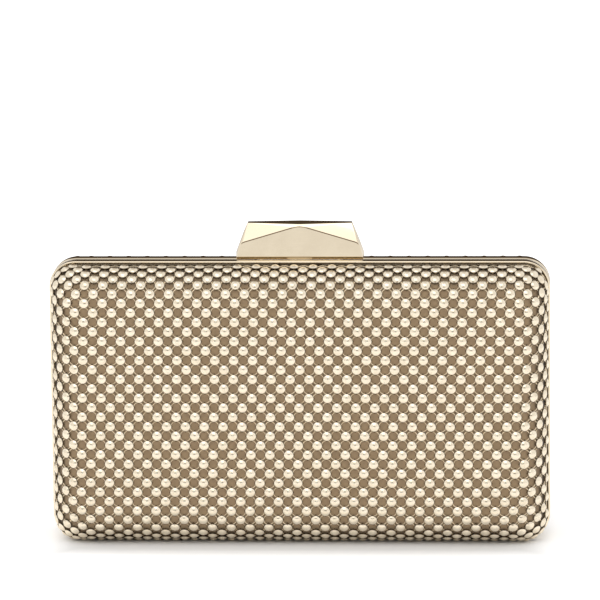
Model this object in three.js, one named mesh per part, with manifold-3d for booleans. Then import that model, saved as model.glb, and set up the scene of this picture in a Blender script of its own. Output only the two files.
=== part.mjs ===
// A hard-shell box clutch: two moulded trays, each held in a gilt metal frame and covered with studded
// metal mesh. The trays are hinged along the bottom seam, and close under a faceted bar clasp at the
// middle of the top. Millimetres. +Z is up, the front of the bag faces -Y, and the seam is the plane Y = 0.
import * as THREE from "three";
import { ConvexGeometry } from "three/addons/geometries/ConvexGeometry.js";
import { mergeVertices } from "three/addons/utils/BufferGeometryUtils.js";
import Module from "manifold-3d";

// Driving dimensions.
const BAG_DEPTH = 46;
const FRAME_WIDTH = 201;
const FRAME_BOTTOM = 0.4;
const FRAME_TOP = 114;
const FRAME_CORNER = 10.5;
const SEAM_GAP = 0.3;
const FIT_GAP = 0.3;
const LAYER_GAP = 0.15;

// The frame's L section: a band round the outside and a flange across the seam face.
const BAND_DEPTH = 6;
const BAND_THICK = 1.3;
const FLANGE_DEPTH = 1.6;
const FLANGE_REACH = 5.2;
const SEAM_BEVEL_DEPTH = 1.1;
const FACE_BEVEL = 0.6;

// The covered tray: its outline stands just inside the band, and just below it on the bottom.
const TRAY_INSET = 0.4;
const TRAY_EDGE_RADIUS = 14;
const TRAY_CORNER = 10.1;
const CORNER_GROWTH = 0.35;
const CROWN = 1;
const CROWN_REACH = 45;
const CROWN_STEPS = [0.65, 1];
const CROWN_CORNER_LOSS = 0.6;
const EDGE_STEPS = 5;
const CORNER_STEPS = 4;
const COVER_THICK = 1.5;
const FABRIC_THICK = 0.4;
const SHELL_THICK = 1.8;
const LINING_THICK = 0.6;

// Hinges in the bottom seam.
const HINGE_X = 62;
const HINGE_LENGTH = 10;
const MIDDLE_KNUCKLE_SHARE = 0.15;
const HINGE_AXIS_UP = 1.45;
const KNUCKLE_RADIUS = 1.25;
const KNUCKLE_CLEAR = 0.3;
const KNUCKLE_PIN_RADIUS = 0.55;
const LEAF_THICK = 0.6;
const LEAF_HEIGHT = 3.4;
const RUNNING_CLEAR = 0.07;

// Bar clasp: heights are above the top of the frame.
const CLASP_BASE = 0.3;
const CLASP_HEIGHT = 14.2;
const CLASP_FRONT = 0.35;
const CLASP_BACK = 9.3;
const CLASP_FOOT_HALF = 25.4;
const CLASP_SIDE_HALF = 25.8;
const CLASP_TOP_HALF = 20.7;
const CLASP_PIN_Y = 6.8;
const CLASP_PIN_UP = 2.6;
const CLASP_PIN_RADIUS = 0.8;
const CLASP_PIN_HALF = 22;
const CLASP_LEAN = 0.45;
const SHOULDER_HALF = 22.7;
const SHOULDER_UP = 7.3;
const PEAK_UP = 13.3;
const PEAK_LEAN = 0.8;
const TOP_END_LEAN = 2.5;
const TOP_MIDDLE_LEAN = 1.2;
const SIDE_EDGE_UP = 2;
const SIDE_RIDGE_HALF = 23.9;
const SIDE_RIDGE_UP = 10.3;
const BACK_FOOT_HALF = 25;
const BACK_CUT_Y = 6.2;
const BACK_CUT_UP = 2.5;
const HOLLOW_HALF = 18.5;
const HOLLOW_FRONT = 1.45;
const HOLLOW_BACK = 8.6;
const HOLLOW_UP = 8.5;

// The clasp's base: a foot riveted to the back frame, with two lugs that hold the pivot pin.
const BASE_HALF = 17.4;
const BASE_FRONT = 3.3;
const BASE_BACK = 5.5;
const BASE_THICK = 0.8;
const BASE_GAP = 0.1;
const LUG_INNER = 11.4;
const LUG_OUTER = 13.2;
const LUG_RADIUS = 1.4;
const LUG_FRONT = 4.2;
const LUG_BACK = 7.2;
const RIVET_X = 15.6;
const RIVET_Y = 4.4;
const RIVET_RADIUS = 0.6;
const RIVET_HEAD_RADIUS = 1;
const RIVET_HEAD_THICK = 0.5;

// The return spring round the pivot pin.
const SPRING_TURNS = 6;
const SPRING_RADIUS = 1.45;
const SPRING_WIDTH = 8;
const SPRING_WIRE_RADIUS = 0.28;
const SPRING_STEPS = 72;

// Latch: a hook that hangs from the bar, and a catch with a window on the front frame.
const HOOK_HALF = 4;
const HOOK_FRONT = 1.75;
const HOOK_THICK = 0.9;
const HOOK_TOP_UP = 8.2;
const HOOK_SHOULDER_HALF = 7;
const HOOK_SHOULDER_UP = 4.2;
const HOOK_END_DOWN = 2.6;
const CATCH_THICK = 1.2;
const CATCH_HALF = 7.5;
const CATCH_WINDOW_HALF = 5;
const CATCH_REACH = 4;
const CATCH_PLATE_THICK = 0.8;
const CATCH_PLATE_FRONT = -5.6;
const CATCH_STEP_FRONT = -1.9;
const CATCH_STEP_BACK = -0.9;
const WINDOW_FRONT = -0.6;
const WINDOW_BAR = 1.1;
const RECESS_HALF = 9;

// Slip pocket on the back lining.
const POCKET_WIDTH = 112;
const POCKET_LOW = 12;
const POCKET_HIGH = 74;
const POCKET_DEPTH = 5.2;
const POCKET_WALL = 0.6;
const BINDING_DROP = 5;

// Facets on round pieces.
const BAR_SIDES = 24;
const RIVET_SIDES = 16;

const wasm = await Module();
wasm.setup();

// Solids and cuts.

function solidOf(geometry) {
  const bare = geometry.index ? geometry.toNonIndexed() : geometry.clone();
  bare.deleteAttribute("normal");
  bare.deleteAttribute("uv");
  const merged = mergeVertices(bare, 1e-4);
  return new wasm.Manifold(
    new wasm.Mesh({
      numProp: 3,
      vertProperties: merged.attributes.position.array,
      triVerts: new Uint32Array(merged.index.array),
    }),
  );
}

function geometryOf(solid) {
  const mesh = solid.getMesh();
  const positions = new Float32Array(mesh.numVert * 3);
  for (let i = 0; i < mesh.numVert; i++) {
    positions.set(mesh.vertProperties.subarray(i * mesh.numProp, i * mesh.numProp + 3), i * 3);
  }
  const geometry = new THREE.BufferGeometry();
  geometry.setAttribute("position", new THREE.BufferAttribute(positions, 3));
  geometry.setIndex(new THREE.BufferAttribute(new Uint32Array(mesh.triVerts), 1));
  geometry.computeVertexNormals();
  return geometry;
}

function block([x0, x1], [y0, y1], [z0, z1]) {
  const box = new THREE.BoxGeometry(x1 - x0, y1 - y0, z1 - z0);
  return solidOf(box.translate((x0 + x1) / 2, (y0 + y1) / 2, (z0 + z1) / 2));
}

// A round bar along X. Every bar and bore has its facets in line, so a pin clears its bore all round.
function bar(radius, [x0, x1], y, z) {
  const cylinder = new THREE.CylinderGeometry(radius, radius, x1 - x0, BAR_SIDES);
  cylinder.rotateZ(Math.PI / 2);
  return solidOf(cylinder.translate((x0 + x1) / 2, y, z));
}

function upright(radius, x, y, [z0, z1]) {
  const cylinder = new THREE.CylinderGeometry(radius, radius, z1 - z0, RIVET_SIDES);
  cylinder.rotateX(Math.PI / 2);
  return solidOf(cylinder.translate(x, y, (z0 + z1) / 2));
}

// Outlines that run round the bag, and skins made of them.

// A rounded rectangle in the plane at depth y.
function outline({ half, bottom, top }, inset, corner, y) {
  const points = [];
  const centres = [
    [half - inset - corner, top - inset - corner, 0],
    [-half + inset + corner, top - inset - corner, 1],
    [-half + inset + corner, bottom + inset + corner, 2],
    [half - inset - corner, bottom + inset + corner, 3],
  ];
  for (const [x, z, quarter] of centres) {
    for (let i = 0; i <= CORNER_STEPS; i++) {
      const angle = ((quarter + i / CORNER_STEPS) * Math.PI) / 2;
      points.push([x + corner * Math.cos(angle), y, z + corner * Math.sin(angle)]);
    }
  }
  return points;
}

// Joins outlines of equal length into one closed skin. A looped skin closes on its first outline, and any
// other gets a flat end at its first and last outline.
function skin(outlines, looped) {
  const count = outlines[0].length;
  const positions = outlines.flat(2);
  const faces = [];
  const last = looped ? outlines.length : outlines.length - 1;
  for (let ring = 0; ring < last; ring++) {
    const here = ring * count;
    const next = ((ring + 1) % outlines.length) * count;
    for (let i = 0; i < count; i++) {
      const j = (i + 1) % count;
      faces.push(here + i, here + j, next + i, here + j, next + j, next + i);
    }
  }
  if (!looped) {
    const end = (outlines.length - 1) * count;
    for (let i = 1; i < count - 1; i++) {
      faces.push(0, i + 1, i, end, end + i, end + i + 1);
    }
  }
  const geometry = new THREE.BufferGeometry();
  geometry.setAttribute("position", new THREE.Float32BufferAttribute(positions, 3));
  geometry.setIndex(faces);
  const made = solidOf(geometry);
  if (made.volume() > 0) return made;
  for (let i = 0; i < faces.length; i += 3) [faces[i + 1], faces[i + 2]] = [faces[i + 2], faces[i + 1]];
  geometry.setIndex(faces);
  return solidOf(geometry);
}

const frameOutline = { half: FRAME_WIDTH / 2, bottom: FRAME_BOTTOM, top: FRAME_TOP };
const trayOutline = { half: FRAME_WIDTH / 2 - TRAY_INSET, bottom: 0, top: FRAME_TOP - TRAY_INSET };

// How far each layer lies under the outside of the covering.
const fabricUnder = COVER_THICK + LAYER_GAP;
const shellUnder = fabricUnder + FABRIC_THICK + LAYER_GAP;
const liningUnder = shellUnder + SHELL_THICK + LAYER_GAP;
const insideUnder = liningUnder + LINING_THICK;

const seamFace = SEAM_GAP / 2;
const bandFace = seamFace + BAND_DEPTH;
const flangeFace = seamFace + FLANGE_DEPTH;

// The outlines of one face of a tray, a given distance under the outside, from its rim to its flat middle.
function trayFace(under, rim, side) {
  const radius = TRAY_EDGE_RADIUS - under;
  const outlines = [outline(trayOutline, under, TRAY_CORNER - under, side * rim)];
  for (let i = 0; i <= EDGE_STEPS; i++) {
    const turn = ((i / EDGE_STEPS) * Math.PI) / 2;
    const outerInset = TRAY_EDGE_RADIUS * (1 - Math.cos(turn));
    const crownLeft = CROWN * (1 - outerInset / CROWN_REACH) ** 2;
    const depth = BAG_DEPTH / 2 - under - radius * (1 - Math.sin(turn)) - crownLeft;
    const inset = under + radius * (1 - Math.cos(turn));
    const corner = TRAY_CORNER + CORNER_GROWTH * outerInset - under;
    outlines.push(outline(trayOutline, inset, corner, side * depth));
  }
  for (const share of CROWN_STEPS) {
    const outerInset = TRAY_EDGE_RADIUS + share * (CROWN_REACH - TRAY_EDGE_RADIUS);
    const crownLeft = CROWN * (1 - outerInset / CROWN_REACH) ** 2;
    const corner = (TRAY_CORNER + CORNER_GROWTH * TRAY_EDGE_RADIUS) * (1 - CROWN_CORNER_LOSS * share) - under;
    outlines.push(outline(trayOutline, outerInset, corner, side * (BAG_DEPTH / 2 - under - crownLeft)));
  }
  return outlines;
}

// One layer of a tray. side is -1 for the front half and 1 for the back half.
function tray(under, thick, rim, side) {
  return skin([...trayFace(under, rim, side).reverse(), ...trayFace(under + thick, rim, side)], false);
}

// The frame of one half, before anything is let into it.
function frameRing(side) {
  const section = [
    [BAND_THICK, seamFace],
    [0, seamFace + SEAM_BEVEL_DEPTH],
    [0, bandFace - FACE_BEVEL],
    [FACE_BEVEL, bandFace],
    [BAND_THICK, bandFace],
    [BAND_THICK, flangeFace],
    [FLANGE_REACH, flangeFace],
    [FLANGE_REACH, seamFace],
  ];
  return skin(
    section.map(([inset, y]) => outline(frameOutline, inset, FRAME_CORNER - inset, side * y)),
    true,
  );
}

// Hinges.

const hingeAxisZ = FRAME_BOTTOM + HINGE_AXIS_UP;
const hingeCentres = { left: -HINGE_X, right: HINGE_X };
const knuckleHalf = HINGE_LENGTH / 2;
const middleHalf = HINGE_LENGTH * MIDDLE_KNUCKLE_SHARE;

// The room that each frame gives a hinge: a round seat for the knuckles and a shallow one for the leaf.
function hingeSeat(x, side) {
  const span = [x - knuckleHalf - FIT_GAP, x + knuckleHalf + FIT_GAP];
  const leafBack = side * (seamFace + LEAF_THICK + FIT_GAP);
  const round = bar(KNUCKLE_RADIUS + KNUCKLE_CLEAR, span, 0, hingeAxisZ);
  const leafTop = hingeAxisZ + LEAF_HEIGHT + FIT_GAP;
  return round.add(block(span, [Math.min(0, leafBack), Math.max(0, leafBack)], [hingeAxisZ, leafTop]));
}

// The front leaf has the two outer knuckles and the back leaf the middle one.
function hingeLeaf(x, side) {
  const near = side * seamFace;
  const far = side * (seamFace + LEAF_THICK);
  const across = [Math.min(near, far), Math.max(near, far)];
  const whole = [x - knuckleHalf, x + knuckleHalf];
  const middle = [x - middleHalf, x + middleHalf];
  const plate = block(whole, across, [hingeAxisZ, hingeAxisZ + LEAF_HEIGHT]);
  const otherRadius = KNUCKLE_RADIUS + KNUCKLE_CLEAR;
  const boreRadius = KNUCKLE_PIN_RADIUS + RUNNING_CLEAR;
  const pinBore = bar(boreRadius, [x - HINGE_LENGTH, x + HINGE_LENGTH], 0, hingeAxisZ);
  if (side > 0) {
    const knuckle = bar(KNUCKLE_RADIUS, middle, 0, hingeAxisZ);
    const leftSide = bar(otherRadius, [whole[0] - FIT_GAP, middle[0]], 0, hingeAxisZ);
    const rightSide = bar(otherRadius, [middle[1], whole[1] + FIT_GAP], 0, hingeAxisZ);
    return plate.subtract(leftSide).subtract(rightSide).add(knuckle).subtract(pinBore);
  }
  const gap = [middle[0] - FIT_GAP, middle[1] + FIT_GAP];
  const knuckles = bar(KNUCKLE_RADIUS, whole, 0, hingeAxisZ).add(plate);
  return knuckles.subtract(bar(otherRadius, gap, 0, hingeAxisZ)).subtract(pinBore);
}

// The bar clasp. up() gives a height over the frame.

const up = (height) => FRAME_TOP + height;
const claspPinZ = up(CLASP_PIN_UP);
const bandInside = up(-BAND_THICK);
const hookEnd = up(-HOOK_END_DOWN);
const catchTop = hookEnd - FIT_GAP;

// The cast bar: a plumb front face that rises to a peak, two facets leaning back from it, a narrow top, and
// slim facets at the ends. The back repeats the front, with its lower edge cut back so that the bar can tilt.
function claspBody() {
  const middle = (CLASP_FRONT + CLASP_BACK) / 2;
  const points = [];
  const corner = (x, y, height) => points.push(new THREE.Vector3(x, y, up(height)));
  for (const x of [-1, 1]) {
    corner(x * CLASP_FOOT_HALF, CLASP_FRONT, CLASP_BASE);
    corner(x * CLASP_SIDE_HALF, middle, CLASP_BASE);
    corner(x * CLASP_SIDE_HALF, middle, SIDE_EDGE_UP);
    corner(x * SIDE_RIDGE_HALF, middle, SIDE_RIDGE_UP);
    corner(x * BACK_FOOT_HALF, BACK_CUT_Y, CLASP_BASE);
    corner(x * BACK_FOOT_HALF, CLASP_BACK, BACK_CUT_UP);
  }
  for (const [face, inward] of [
    [CLASP_FRONT, 1],
    [CLASP_BACK, -1],
  ]) {
    for (const x of [-1, 1]) {
      corner(x * SHOULDER_HALF, face + inward * CLASP_LEAN, SHOULDER_UP);
      corner(x * CLASP_TOP_HALF, face + inward * TOP_END_LEAN, CLASP_HEIGHT);
    }
    corner(0, face + inward * PEAK_LEAN, PEAK_UP);
    corner(0, face + inward * TOP_MIDDLE_LEAN, CLASP_HEIGHT);
  }
  return solidOf(new ConvexGeometry(points));
}

function claspBar() {
  const hollow = block([-HOLLOW_HALF, HOLLOW_HALF], [HOLLOW_FRONT, HOLLOW_BACK], [up(0), up(HOLLOW_UP)]);
  const bore = bar(
    CLASP_PIN_RADIUS + RUNNING_CLEAR,
    [-CLASP_PIN_HALF - FIT_GAP, CLASP_PIN_HALF + FIT_GAP],
    CLASP_PIN_Y,
    claspPinZ,
  );
  return claspBody().subtract(hollow).subtract(bore);
}

function claspHook() {
  const across = [HOOK_FRONT, HOOK_FRONT + HOOK_THICK];
  const blade = block([-HOOK_HALF, HOOK_HALF], across, [hookEnd, up(HOOK_TOP_UP)]);
  const shoulders = [-HOOK_SHOULDER_HALF, HOOK_SHOULDER_HALF];
  return blade.add(block(shoulders, across, [up(HOOK_SHOULDER_UP), up(HOOK_TOP_UP)]));
}

const baseTop = up(BASE_GAP + BASE_THICK);
const rivetXs = { left: -RIVET_X, right: RIVET_X };
const rivetBoreSpan = [up(-FLANGE_REACH), up(BASE_THICK * 2)];
const rivetBore = (x) => upright(RIVET_RADIUS + BASE_GAP, x, RIVET_Y, rivetBoreSpan);

function claspBase() {
  const lugBore = bar(CLASP_PIN_RADIUS + RUNNING_CLEAR, [-HOLLOW_HALF, HOLLOW_HALF], CLASP_PIN_Y, claspPinZ);
  let base = block([-BASE_HALF, BASE_HALF], [BASE_FRONT, BASE_BACK], [up(BASE_GAP), baseTop]);
  for (const span of [
    [LUG_INNER, LUG_OUTER],
    [-LUG_OUTER, -LUG_INNER],
  ]) {
    const post = block(span, [LUG_FRONT, LUG_BACK], [up(BASE_GAP), claspPinZ]);
    base = base.add(post).add(bar(LUG_RADIUS, span, CLASP_PIN_Y, claspPinZ));
  }
  base = base.subtract(lugBore);
  for (const x of Object.values(rivetXs)) base = base.subtract(rivetBore(x));
  return base;
}

function claspRivet(x) {
  const headBottom = baseTop + BASE_GAP;
  const tailTop = bandInside - BASE_GAP;
  const shank = upright(RIVET_RADIUS, x, RIVET_Y, [tailTop - RIVET_HEAD_THICK / 2, headBottom + BASE_GAP]);
  const head = upright(RIVET_HEAD_RADIUS, x, RIVET_Y, [headBottom, headBottom + RIVET_HEAD_THICK]);
  const tail = upright(RIVET_HEAD_RADIUS, x, RIVET_Y, [tailTop - RIVET_HEAD_THICK, tailTop]);
  return shank.add(head).add(tail);
}

// A wire wound round the pivot pin.
class SpringWire extends THREE.Curve {
  getPoint(t, target = new THREE.Vector3()) {
    const angle = t * SPRING_TURNS * 2 * Math.PI;
    const x = (t - 0.5) * SPRING_WIDTH;
    const y = CLASP_PIN_Y - SPRING_RADIUS * Math.cos(angle);
    return target.set(x, y, claspPinZ + SPRING_RADIUS * Math.sin(angle));
  }
}

function claspSpring() {
  const section = new THREE.Shape();
  section.absarc(0, 0, SPRING_WIRE_RADIUS, 0, 2 * Math.PI);
  const path = { extrudePath: new SpringWire(), steps: SPRING_STEPS, curveSegments: 3 };
  return solidOf(new THREE.ExtrudeGeometry(section, path));
}

// The catch: a plate under the front frame's band, stepped down to a tongue with a window for the hook.
function latchCatch() {
  const width = [-CATCH_HALF, CATCH_HALF];
  const plateTop = bandInside - BASE_GAP;
  const tongueBottom = catchTop - CATCH_THICK;
  const plate = block(width, [CATCH_PLATE_FRONT, CATCH_STEP_BACK], [plateTop - CATCH_PLATE_THICK, plateTop]);
  const step = block(width, [CATCH_STEP_FRONT, CATCH_STEP_BACK], [tongueBottom, plateTop]);
  const tongue = block(width, [CATCH_STEP_FRONT, CATCH_REACH], [tongueBottom, catchTop]);
  const window = block(
    [-CATCH_WINDOW_HALF, CATCH_WINDOW_HALF],
    [WINDOW_FRONT, CATCH_REACH - WINDOW_BAR],
    [tongueBottom - CATCH_THICK, catchTop + CATCH_THICK],
  );
  return plate.add(step).add(tongue).subtract(window);
}

// The two halves.

// Both flanges are cut away at the middle of the top to let the catch through.
function letIntoFrame(ring, side) {
  let frame = ring;
  for (const x of Object.values(hingeCentres)) frame = frame.subtract(hingeSeat(x, side));
  const ends = [0, side * (flangeFace + FIT_GAP)];
  const across = [Math.min(...ends), Math.max(...ends)];
  return frame.subtract(block([-RECESS_HALF, RECESS_HALF], across, [up(-FLANGE_REACH - 1), bandInside]));
}

function rearFrame() {
  const slotBack = HOOK_FRONT + HOOK_THICK + FIT_GAP;
  const hookSlot = block([-CATCH_WINDOW_HALF, CATCH_WINDOW_HALF], [0, slotBack], [bandInside - 1, up(1)]);
  let frame = letIntoFrame(frameRing(1), 1).subtract(hookSlot);
  for (const x of Object.values(rivetXs)) frame = frame.subtract(rivetBore(x));
  return frame;
}

const coverRim = bandFace + FIT_GAP;
const shellRim = flangeFace + FIT_GAP;

// Room for the catch's tongue in the edge of the back shell and its lining.
const catchRecess = block(
  [-RECESS_HALF, RECESS_HALF],
  [0, CATCH_REACH + 1],
  [up(-FLANGE_REACH - SHELL_THICK), up(-TRAY_INSET)],
);

const rearShell = () => tray(shellUnder, SHELL_THICK, shellRim, 1).subtract(catchRecess);
const rearLining = () => tray(liningUnder, LINING_THICK, shellRim, 1).subtract(catchRecess);

// A flat pocket with pleated sides, open at the top, standing on the back lining.
const pocketBack = BAG_DEPTH / 2 - insideUnder - CROWN;
const pocketFront = pocketBack - POCKET_DEPTH;

function slipPocket() {
  const half = POCKET_WIDTH / 2;
  const outside = block([-half, half], [pocketFront, pocketBack], [POCKET_LOW, POCKET_HIGH]);
  const inside = block(
    [-half + POCKET_WALL, half - POCKET_WALL],
    [pocketFront + POCKET_WALL, pocketBack + 1],
    [POCKET_LOW + POCKET_WALL, POCKET_HIGH + 1],
  );
  return outside.subtract(inside);
}

// A folded strip over the pocket's front edge.
function pocketBinding() {
  const half = POCKET_WIDTH / 2 - POCKET_WALL - FIT_GAP;
  const front = pocketFront - LAYER_GAP - POCKET_WALL;
  const back = pocketFront + POCKET_WALL + LAYER_GAP + POCKET_WALL;
  const foldTop = POCKET_HIGH + LAYER_GAP;
  const strip = block([-half, half], [front, back], [POCKET_HIGH - BINDING_DROP, foldTop + POCKET_WALL]);
  const fold = block(
    [-half - 1, half + 1],
    [pocketFront - LAYER_GAP, pocketFront + POCKET_WALL + LAYER_GAP],
    [POCKET_HIGH - BINDING_DROP - 1, foldTop],
  );
  return strip.subtract(fold);
}

// Finishes.

const finish = (color, roughness, metalness) =>
  new THREE.MeshStandardMaterial({ color, roughness, metalness });

const polishedGilt = () => finish(0xe5d6bc, 0.12, 1);
const studdedMesh = () => finish(0xf5e6cc, 0.28, 1);
const taupeCloth = () => finish(0xa08a6e, 0.85, 0);
const mouldedBoard = () => finish(0x6e5c48, 0.7, 0);
const satinLining = () => finish(0xc9b79a, 0.6, 0);
const springSteel = () => finish(0xb9b9b6, 0.3, 1);

const bag = new THREE.Group();

function addPart(name, solid, material) {
  const mesh = new THREE.Mesh(geometryOf(solid), material);
  mesh.name = name;
  bag.add(mesh);
}

addPart("front_frame", letIntoFrame(frameRing(-1), -1), polishedGilt());
addPart("rear_frame", rearFrame(), polishedGilt());
for (const [name, side] of [
  ["front", -1],
  ["rear", 1],
]) {
  addPart(name + "_mesh_cover", tray(0, COVER_THICK, coverRim, side), studdedMesh());
  addPart(name + "_backing_fabric", tray(fabricUnder, FABRIC_THICK, coverRim, side), taupeCloth());
}
addPart("front_shell", tray(shellUnder, SHELL_THICK, shellRim, -1), mouldedBoard());
addPart("front_lining", tray(liningUnder, LINING_THICK, shellRim, -1), satinLining());
addPart("rear_shell", rearShell(), mouldedBoard());
addPart("rear_lining", rearLining(), satinLining());
addPart("slip_pocket", slipPocket(), satinLining());
addPart("pocket_binding", pocketBinding(), satinLining());

for (const [hand, x] of Object.entries(hingeCentres)) {
  const pinEnds = [x - knuckleHalf - 0.1, x + knuckleHalf + 0.1];
  addPart("hinge_front_leaf_" + hand, hingeLeaf(x, -1), polishedGilt());
  addPart("hinge_rear_leaf_" + hand, hingeLeaf(x, 1), polishedGilt());
  addPart("hinge_pin_" + hand, bar(KNUCKLE_PIN_RADIUS, pinEnds, 0, hingeAxisZ), springSteel());
}

addPart("clasp_bar", claspBar(), polishedGilt());
addPart("clasp_hook", claspHook(), polishedGilt());
addPart("clasp_base", claspBase(), polishedGilt());
addPart(
  "clasp_pivot_pin",
  bar(CLASP_PIN_RADIUS, [-CLASP_PIN_HALF, CLASP_PIN_HALF], CLASP_PIN_Y, claspPinZ),
  springSteel(),
);
addPart("clasp_spring", claspSpring(), springSteel());
for (const [hand, x] of Object.entries(rivetXs)) {
  addPart("clasp_rivet_" + hand, claspRivet(x), polishedGilt());
}
addPart("latch_catch", latchCatch(), springSteel());

export default bag;
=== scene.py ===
# A hard-shell box clutch in pale gold. Two moulded trays are held in gilt frames, covered with metal mesh,
# lined with satin, hinged along the bottom and closed by a faceted bar clasp. Metres, in the bag's frame:
# the front faces -Y, +Z is up, and the seam between the two halves is the plane y = 0.
import math

import bmesh
import bpy
import numpy as np
from mathutils import Matrix, Vector, noise
from mathutils.bvhtree import BVHTree


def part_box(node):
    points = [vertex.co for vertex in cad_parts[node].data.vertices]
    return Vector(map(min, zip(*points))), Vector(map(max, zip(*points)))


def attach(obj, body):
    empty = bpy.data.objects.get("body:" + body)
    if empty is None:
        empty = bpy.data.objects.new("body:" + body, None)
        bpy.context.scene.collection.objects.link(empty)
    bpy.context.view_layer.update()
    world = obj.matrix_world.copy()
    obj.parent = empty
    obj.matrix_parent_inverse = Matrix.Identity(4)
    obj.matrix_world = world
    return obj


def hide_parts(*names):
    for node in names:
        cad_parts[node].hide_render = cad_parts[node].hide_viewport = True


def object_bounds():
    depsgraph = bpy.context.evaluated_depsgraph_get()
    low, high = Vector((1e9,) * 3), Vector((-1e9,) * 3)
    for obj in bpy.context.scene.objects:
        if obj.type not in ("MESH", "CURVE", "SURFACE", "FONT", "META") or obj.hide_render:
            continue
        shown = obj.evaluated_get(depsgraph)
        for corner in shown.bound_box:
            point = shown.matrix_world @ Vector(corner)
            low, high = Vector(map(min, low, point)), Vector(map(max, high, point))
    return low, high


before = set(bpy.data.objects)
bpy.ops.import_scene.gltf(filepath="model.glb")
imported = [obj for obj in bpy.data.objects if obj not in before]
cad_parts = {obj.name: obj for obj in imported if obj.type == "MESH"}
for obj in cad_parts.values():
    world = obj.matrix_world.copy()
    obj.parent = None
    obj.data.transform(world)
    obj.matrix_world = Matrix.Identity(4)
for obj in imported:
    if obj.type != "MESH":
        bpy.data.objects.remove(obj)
cad_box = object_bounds()


# ---- Camera and studio ------------------------------------------------------------------------------
# The bag stands on a white table in a bright room, with one soft box above the camera. The camera is a
# little above the bag and a little to its right, on a long lens. The domes mirror the dim gap behind it.

MM = 0.001
CAMERA_TURN = math.radians(3.0)
CAMERA_RISE = math.radians(10.5)
CAMERA_LEVELLING = math.asin(math.sin(CAMERA_TURN) * math.sin(CAMERA_RISE))
CAMERA_DISTANCE = 1.9
CAMERA_LENS = 283.5
AIM_HEIGHT_SHARE = 0.757
SOFT_BOX_PLACE = (-0.2, -0.9, 1.3)
SOFT_BOX_SIZE = (1.4, 0.7)
SOFT_BOX_POWER = 2.5
WHITE = (1.0, 1.0, 1.0, 1.0)

scene = bpy.context.scene
scene.view_settings.view_transform = "Standard"
towards_camera = Vector((
    math.sin(CAMERA_TURN) * math.cos(CAMERA_RISE),
    -math.cos(CAMERA_TURN) * math.cos(CAMERA_RISE),
    math.sin(CAMERA_RISE),
))
aim = Vector((0, 0, cad_box[1][2] * AIM_HEIGHT_SHARE))
camera = bpy.data.objects.new("camera", bpy.data.cameras.new("camera"))
scene.collection.objects.link(camera)
camera.location = aim + towards_camera * CAMERA_DISTANCE
camera_level = Matrix.Rotation(-CAMERA_LEVELLING, 3, "Z")
camera_turn = (-towards_camera).to_track_quat("-Z", "Y").to_matrix() @ camera_level
camera.rotation_euler = camera_turn.to_euler()
camera.data.lens = CAMERA_LENS
scene.camera = camera


def soft_box():
    """A rectangular soft light, turned to face the bag."""
    lamp = bpy.data.lights.new("soft_box", "AREA")
    lamp.shape = "RECTANGLE"
    lamp.size, lamp.size_y = SOFT_BOX_SIZE
    lamp.energy = SOFT_BOX_POWER
    box = bpy.data.objects.new("soft_box", lamp)
    scene.collection.objects.link(box)
    box.location = SOFT_BOX_PLACE
    box.rotation_euler = (aim - box.location).to_track_quat("-Z", "Y").to_euler()


soft_box()


def joined(tree, kind, settings=None, **inputs):
    """Adds a shader node. An input is a plain value or the output of another node."""
    node = tree.nodes.new(kind)
    for key, value in (settings or {}).items():
        setattr(node, key, value)
    for key, value in inputs.items():
        name = int(key[1:]) if key[0] == "_" and key[1:].isdigit() else key.replace("_", " ")
        if isinstance(value, bpy.types.NodeSocket):
            tree.links.new(value, node.inputs[name])
        else:
            node.inputs[name].default_value = value
    return node


def ranged(tree, value, from_low, from_high, to_low, to_high):
    """A value carried smoothly from one range to another, and held at both ends."""
    settings = {"interpolation_type": "SMOOTHSTEP"}
    given = {"From_Min": from_low, "From_Max": from_high, "To_Min": to_low, "To_Max": to_high}
    return joined(tree, "ShaderNodeMapRange", settings, Value=value, **given).outputs["Result"]


def maths(tree, operation, first, second=0.0):
    """One arithmetic step between two values."""
    return joined(tree, "ShaderNodeMath", {"operation": operation}, _0=first, _1=second).outputs[0]


def mixed(tree, share, first, second):
    """A colour between two, by share. A colour is four plain numbers or a node's output."""
    return joined(tree, "ShaderNodeMix", {"data_type": "RGBA"}, _0=share, _6=first, _7=second).outputs[2]


# The room from the front horizon, over the top, to the back horizon, as (degrees, brightness): the pale
# floor, the dim gap round the camera, the wide front light, the ceiling, the unlit back and the pale floor.
STUDIO_ARCH = (
    (0, 0.95), (0.5, 0.95), (2, 0.2), (17, 0.2), (20.5, 1.45), (44, 1.45), (56, 0.95), (90, 0.85),
    (115, 0.6), (135, 0.25), (150, 0.08), (179.5, 0.06), (180, 0.6),
)
STUDIO_SIDE_EDGES = (0.22, 0.45)
STUDIO_SIDES = 1.0
DIM_TINT = (1.0, 0.72, 0.45)
LIT = 0.8


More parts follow.
